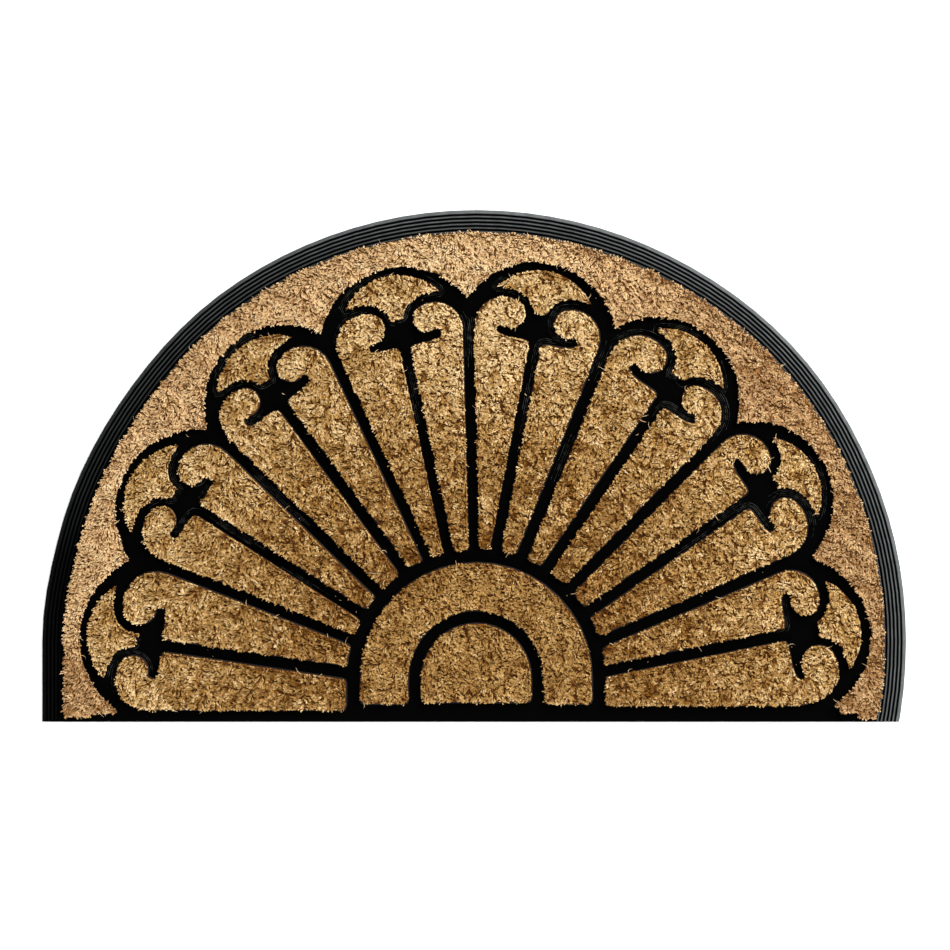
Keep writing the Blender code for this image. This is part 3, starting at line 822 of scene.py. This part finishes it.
def lay_fibres(roots, distances, outward, kind, tufts, pile, rng):
    """The fibres' tips, and which fibres are blunt. No tip reaches far over the outline."""
    count = len(roots)
    facing = outward @ np.array([cos(pile.heading), sin(pile.heading)])
    away = (1 - facing) / 2 * np.exp(-distances / AWAY_REACH)
    freedom = np.interp(roots[:, 0], (-0.35, 0.0), (0.4, 1.0))
    heading = pile.heading + freedom * (tufts["turn"] + FIBRE_TURN * rng.standard_normal(count))
    pull = (EDGE_PULL * np.exp(-distances / EDGE_REACH) + AWAY_PULL * away)[:, None]
    plan = np.stack([np.cos(heading), np.sin(heading)], axis=1) * (1 - pull) + outward * pull
    plan /= np.maximum(np.linalg.norm(plan, axis=1), 1e-9)[:, None]
    lean = pile.lean - FREE_LIFT * freedom + tufts["lean"] - AWAY_LIFT * away
    lean = np.clip(lean + FIBRE_LEAN * rng.standard_normal(count), *LEAN_LIMITS)
    shares = np.clip(1.02 + 0.12 * rng.standard_normal(count) - 0.1 * tufts["spread"], 0.5, 1.4)
    lengths = pile.length * shares * np.where(tufts["pitted"], PIT_LENGTH, 1.0)
    reach = plan * (lengths * np.sin(lean))[:, None]
    reach += LOCK_PULL * (tufts["middle"] - roots)[:, :2]
    blunt = rng.random(count) < 0.5
    if kind == "crescent":
        facing = np.maximum(facing, 0.3)
        from_centre = ((roots[:, :2] - RIM_CENTRE) * outward).sum(axis=1)
        facing += 1.6 * (from_centre > 0.9 * (RIM_RADIUS - RIM_WIDTH - 20 * MM))
    raggedness = (0.4 + 0.55 * (1 + facing)) * np.abs(rng.standard_normal(count))
    overhang = -0.45 + 0.35 * facing + raggedness + EDGE_CLUMPS[kind] * tufts["edge"]
    over = np.maximum((reach * outward).sum(axis=1) - distances - overhang * MM, 0)
    reach -= outward * over[:, None]
    return roots + np.column_stack([reach, lengths * np.cos(lean)]), blunt


def fibre_tones(roots, distances, outward, kind, tufts, rng):
    """Each fibre's tone, from 0 for dark to 1 for light."""
    tones = patch_tones(roots, kind, rng) + tufts["tone"] + FIBRE_TONE * rng.standard_normal(len(roots))
    # Fibres far from the middle of their lock are darker: painted shade where locks meet.
    tones += edge_light(outward, distances) + CONTRASTS[kind] * (0.03 - 0.09 * tufts["spread"])
    return np.clip(tones - stains(roots), 0, 1)


def pile_piece(node, seed, pile, material):
    """One patch of cut pile: its bed and its fibres, in the node's place."""
    rng = np.random.default_rng(seed)
    kind = pile_kind(node)
    name = node.replace("coir", "pile")
    bed, top = lowered_bed(node, name, pile.bed_drop, pile.shoulder)
    triangles, corners = corner_coordinates(bed.data)
    upward, areas = facing_up(triangles)
    upward &= triangles[:, :, 2].mean(axis=1) > top - pile.bed_drop - 0.2 * MM
    face, face_areas = triangles[upward], areas[upward]
    count = int(face_areas.sum() / MM ** 2 * pile.density)
    roots = scatter_points(face, face_areas, count, rng)
    distances, outward = nearest_edge(roots, *outline_of(face, corners[upward]))
    tufts = draw_tufts(face, face_areas, roots, CONTRASTS[kind], pile, rng)
    tips, blunt = lay_fibres(roots, distances, outward, kind, tufts, pile, rng)
    widths = pile.width * rng.uniform(0.7, 1.25, count)
    tones = fibre_tones(roots, distances, outward, kind, tufts, rng)
    roots[:, 2] -= ROOT_DEPTH
    mesh = fibre_mesh(name + "_fibres", roots, tips, widths, blunt, tones)
    fibres = bpy.data.objects.new(mesh.name, mesh)
    bpy.context.scene.collection.objects.link(fibres)
    select_only(bed)
    fibres.select_set(True)
    bpy.ops.object.join()
    finish_piece(bed, material, [node])
    return bed


def outer_material(colours):
    """The paler, pinker coir of the outer band and the loose fibres."""
    # The last colour is the painted shade at the fibres' roots.
    return pile_material(
        "coir_outer", colours.crescent_dark, colours.crescent_middle, colours.crescent_light,
        (0.7, 0.6, 0.45))


def inner_material(colours):
    """The browner coir between the lines."""
    return pile_material(
        # The last colour is the painted shade at the fibres' roots.
        "coir_inner", colours.field_dark, colours.field_middle, colours.field_light, (0.62, 0.5, 0.3))


class DOORMAT_OT_pile(bpy.types.Operator):
    """Put a bed of cut coir fibres in the place of each coir node"""

    bl_idname = "doormat.pile"
    bl_label = "Coir pile"

    def execute(self, context):
        colours = context.scene.doormat_colours
        pile = context.scene.doormat_pile
        for seed, node in enumerate(PILE_NODES):
            if pile_kind(node) == "crescent":
                material = outer_material(colours)
            else:
                material = inner_material(colours)
            pile_piece(node, seed, pile, material)
        return {"FINISHED"}


def bead_material():
    """Rubber with a painted sheen along the mould's beads, grey in broken runs, for the faint highlights
    that the beads catch.
    """
    material, tree, shader = new_material("worn_rubber_bead")
    bead_sheen = mapped_range(tree, noise(tree, 220.0, 4.0, 0.7), 0.46, 0.7, 0.0, 1.0)
    colour = mixed_colour(tree, bead_sheen, (0.001, 0.001, 0.001), (0.075, 0.08, 0.07))
    tree.links.new(colour, shader.inputs["Base Color"])
    shader.inputs["Roughness"].default_value = 0.4
    shader.inputs["Specular IOR Level"].default_value = 0.2
    return material


# How often beads show, by share of the way out on the fan and by turn in degrees from the right
BEAD_STEP = 2.0 * MM
BEAD_REACHES, BEAD_REACH_SHARES = (0.45, 0.75), (0.0, 1.0)
BEAD_TURNS, BEAD_TURN_SHARES = (0, 40, 70, 120, 180), (0.3, 0.9, 1.0, 0.6, 0.3)


class DOORMAT_OT_beads(bpy.types.Operator):
    """Run bundles of fine moulded beads along the edges of the raised lines"""

    bl_idname = "doormat.beads"
    bl_label = "Moulded beads"

    def execute(self, context):
        beads = context.scene.doormat_beads
        rng = np.random.default_rng(71)
        surface = cad_surface([RUBBER_NODE])
        curve = bpy.data.curves.new("moulded_beads", "CURVE")
        curve.dimensions = "3D"
        curve.bevel_depth = beads.width / 2
        curve.bevel_resolution = 0
        curve.use_fill_caps = True
        fan = [node for node in PILE_NODES if pile_kind(node) in ("blade", "cap")]
        loops = [top_outline(node, BEAD_STEP) for node in fan]
        sizes = np.array([len(loop) for loop, _ in loops], dtype=float)
        for _ in range(beads.count):
            loop, outward = loops[rng.choice(len(loops), p=sizes / sizes.sum())]
            middle = rng.integers(len(loop))
            east, north = loop[middle] - np.array(HUB_CENTRE)
            keep = np.interp(np.hypot(east, north) / RIM_RADIUS, BEAD_REACHES, BEAD_REACH_SHARES)
            keep *= np.interp(np.degrees(np.arctan2(north, east)), BEAD_TURNS, BEAD_TURN_SHARES)
            if rng.random() > keep:
                continue
            half = rng.integers(6, 16)
            for place in range(rng.integers(2, 5)):
                first = middle - half + rng.integers(-4, 5)
                run = np.arange(first, first + 2 * half - rng.integers(0, 6)) % len(loop)
                aside = beads.spacing * (place + 1) + 0.12 * MM * rng.standard_normal()
                lay_bead(curve, loop[run] + outward[run] * aside, surface)
        holder = bpy.data.objects.new("moulded_beads", curve)
        context.scene.collection.objects.link(holder)
        select_only(holder)
        bpy.ops.object.convert(target="MESH")
        piece = context.active_object
        finish_piece(piece, bead_material(), [])
        return {"FINISHED"}


def lay_bead(curve, points, surface, shortest=5):
    """One run of bead on the line's top, broken where the rubber is lower."""
    stretch = []
    for x, y in [*points, (1.0, 1.0)]:
        height = height_at(surface, x, y)
        smooth = not stretch or np.hypot(x - stretch[-1][0], y - stretch[-1][1]) > 0.8 * MM
        level = height is not None and abs(height - LINE_TOP) < 0.05 * MM
        if level and smooth and y > HUB_CENTRE[1] - 18 * MM:
            stretch.append((x, y))
            continue
        if len(stretch) >= shortest:
            spline = curve.splines.new("POLY")
            spline.points.add(len(stretch) - 1)
            for point, place in zip(spline.points, stretch):
                point.co = (*place, LINE_TOP, 1)
        stretch = []


class DOORMAT_OT_stray(bpy.types.Operator):
    """Scatter loose fibres over the edges of the pile and on the rubber"""

    bl_idname = "doormat.stray"
    bl_label = "Loose fibres"

    def execute(self, context):
        stray = context.scene.doormat_stray
        colours = context.scene.doormat_colours
        rng = np.random.default_rng(72)
        surface = cad_surface([RUBBER_NODE, *PILE_NODES])
        loops = [top_outline(node, 1.0 * MM) for node in PILE_NODES]
        paths, widths = [], []
        sizes = np.array([len(loop) for loop, _ in loops], dtype=float)
        sizes[PILE_NODES.index("coir_crescent")] *= 2.5
        while len(paths) < stray.hair_count:
            loop, outward = loops[rng.choice(len(loops), p=sizes / sizes.sum())]
            place = rng.integers(len(loop))
            turn = rng.normal(0, radians(60))
            heading = np.arctan2(outward[place, 1], outward[place, 0]) + turn
            start = loop[place] - outward[place] * 2 * MM
            path = lay_thread(surface, start, heading, rng.uniform(4, 8) * MM, rng)
            if path is not None:
                paths.append(path)
                widths.append(stray.width * rng.uniform(0.7, 1.2))
        rubber = frame["nodes"][RUBBER_NODE].data
        triangles, _ = corner_coordinates(rubber)
        upward, areas = facing_up(triangles)
        upward &= triangles[:, :, 2].mean(axis=1) > 4.5 * MM
        for x, y, _ in scatter_points(triangles[upward], areas[upward], stray.crumb_count, rng):
            path = lay_thread(surface, (x, y), rng.uniform(0, tau), rng.choice((0.7, 1.2, 3.0)) * MM, rng)
            on_fan = y > LOW_CORNER[1] + 25 * MM and np.hypot(x, y - RIM_CENTRE[1]) < RIM_RADIUS - RIM_WIDTH
            if path is not None and on_fan:
                paths.append(path)
                widths.append(stray.width * rng.uniform(0.6, 1.3))
        tones = rng.uniform(0.3, 0.9, len(paths))
        piece = thread_mesh("loose_fibres", np.array(paths), np.array(widths), tones)
        finish_piece(piece, outer_material(colours), [])
        return {"FINISHED"}


def lay_thread(surface, start, heading, length, rng, steps=5):
    """A bent thread that lies on whatever is under it, or nothing where it would leave the mat."""
    bend = rng.normal(0, radians(14))
    x, y = start
    path = []
    for _ in range(steps):
        height = height_at(surface, x, y)
        if height is None or height < 3.6 * MM:
            return None
        path.append((x, y, height + 0.2 * MM))
        heading += bend
        x += cos(heading) * length / (steps - 1)
        y += sin(heading) * length / (steps - 1)
    eased = np.array(path)
    eased[1:-1, 2] = np.maximum((eased[:-2, 2] + eased[2:, 2]) / 2, eased[1:-1, 2])
    return eased


class DOORMAT_OT_studio(bpy.types.Operator):
    """Add the plain floor, the soft lights and the camera over the mat"""

    bl_idname = "doormat.studio"
    bl_label = "Studio"

    def execute(self, context):
        scene = context.scene
        studio = scene.doormat_studio
        bpy.ops.object.select_all(action="DESELECT")
        bpy.ops.mesh.primitive_plane_add(size=8.0, location=(0, 0, 0))
        floor = context.active_object
        floor.name = "studio_floor"
        material, _, shader = new_material("studio_paper")
        shader.inputs["Base Color"].default_value = (0.95, 0.95, 0.95, 1)
        shader.inputs["Roughness"].default_value = 0.9
        shader.inputs["Specular IOR Level"].default_value = 0.0
        shader.inputs["Emission Color"].default_value = (1, 1, 1, 1)
        shader.inputs["Emission Strength"].default_value = 0.4
        floor.data.materials.append(material)
        add_light("key_light", (2.2, 2.2, 2.3), 2.4, studio.key_power)
        add_light("fill_light", (-0.6, -2.8, 1.7), 2.4, studio.fill_power)
        world = bpy.data.worlds.new("studio_room")
        world.use_nodes = True
        world.node_tree.nodes["Background"].inputs["Color"].default_value = (1, 1, 1, 1)
        world.node_tree.nodes["Background"].inputs["Strength"].default_value = studio.room_light
        scene.world = world
        bpy.ops.object.camera_add(location=(0.0007, -0.008, studio.camera_height), rotation=(0, 0, 0))
        camera = context.active_object
        camera.name = "studio_camera"
        camera.data.sensor_width = 36.0
        camera.data.lens = camera.data.sensor_width * studio.camera_height / studio.frame_width
        scene.camera = camera
        scene.view_settings.view_transform = "Standard"
        return {"FINISHED"}


def add_light(name, place, size, power):
    """A soft square light that looks at the mat."""
    turn = (-Vector(place)).to_track_quat("-Z", "Y").to_euler()
    bpy.ops.object.light_add(type="AREA", location=place, rotation=turn)
    light = bpy.context.active_object
    light.name = name
    light.data.shape = "SQUARE"
    light.data.size = size
    light.data.energy = power
    return light


# Panel and start

STEPS = (
    DOORMAT_OT_studio,
    DOORMAT_OT_rubber,
    DOORMAT_OT_pile,
    DOORMAT_OT_beads,
    DOORMAT_OT_stray,
)


class DOORMAT_PT_panel(bpy.types.Panel):
    """The doormat's pieces and their settings"""

    bl_idname = "DOORMAT_PT_panel"
    bl_label = "Coir doormat"
    bl_space_type = "VIEW_3D"
    bl_region_type = "UI"
    bl_category = "Doormat"

    def draw(self, context):
        for step in STEPS:
            self.layout.operator(step.bl_idname)
        for group in SETTINGS:
            settings = getattr(context.scene, group)
            box = self.layout.box()
            for key in settings.__annotations__:
                box.prop(settings, key)


SETTINGS = {
    "doormat_pile": DoormatPile,
    "doormat_colours": DoormatColours,
    "doormat_rubber": DoormatRubber,
    "doormat_beads": DoormatBeads,
    "doormat_stray": DoormatStray,
    "doormat_studio": DoormatStudio,
}


def register():
    for group, settings in SETTINGS.items():
        bpy.utils.register_class(settings)
        setattr(bpy.types.Scene, group, PointerProperty(type=settings))
    for cls in (*STEPS, DOORMAT_PT_panel):
        bpy.utils.register_class(cls)


def unregister():
    for cls in (DOORMAT_PT_panel, *reversed(STEPS)):
        bpy.utils.unregister_class(cls)
    for group, settings in SETTINGS.items():
        delattr(bpy.types.Scene, group)
        bpy.utils.unregister_class(settings)


def declare_sheet():
    """Gathers the pile pieces, the moulded beads and the loose fibres that lie on the rubber moulding, and
    does nothing more with them.
    """
    pieces = bpy.data.objects
    riders = [piece for piece in pieces if piece.name.startswith("pile_")]
    riders += [pieces["moulded_beads"], pieces["loose_fibres"]]


def main():
    """Builds everything in order."""
    register()
    bpy.ops.doormat.studio()
    bpy.ops.doormat.rubber()
    bpy.ops.doormat.pile()
    bpy.ops.doormat.beads()
    bpy.ops.doormat.stray()
    declare_sheet()


if __name__ == "__main__":
    main()
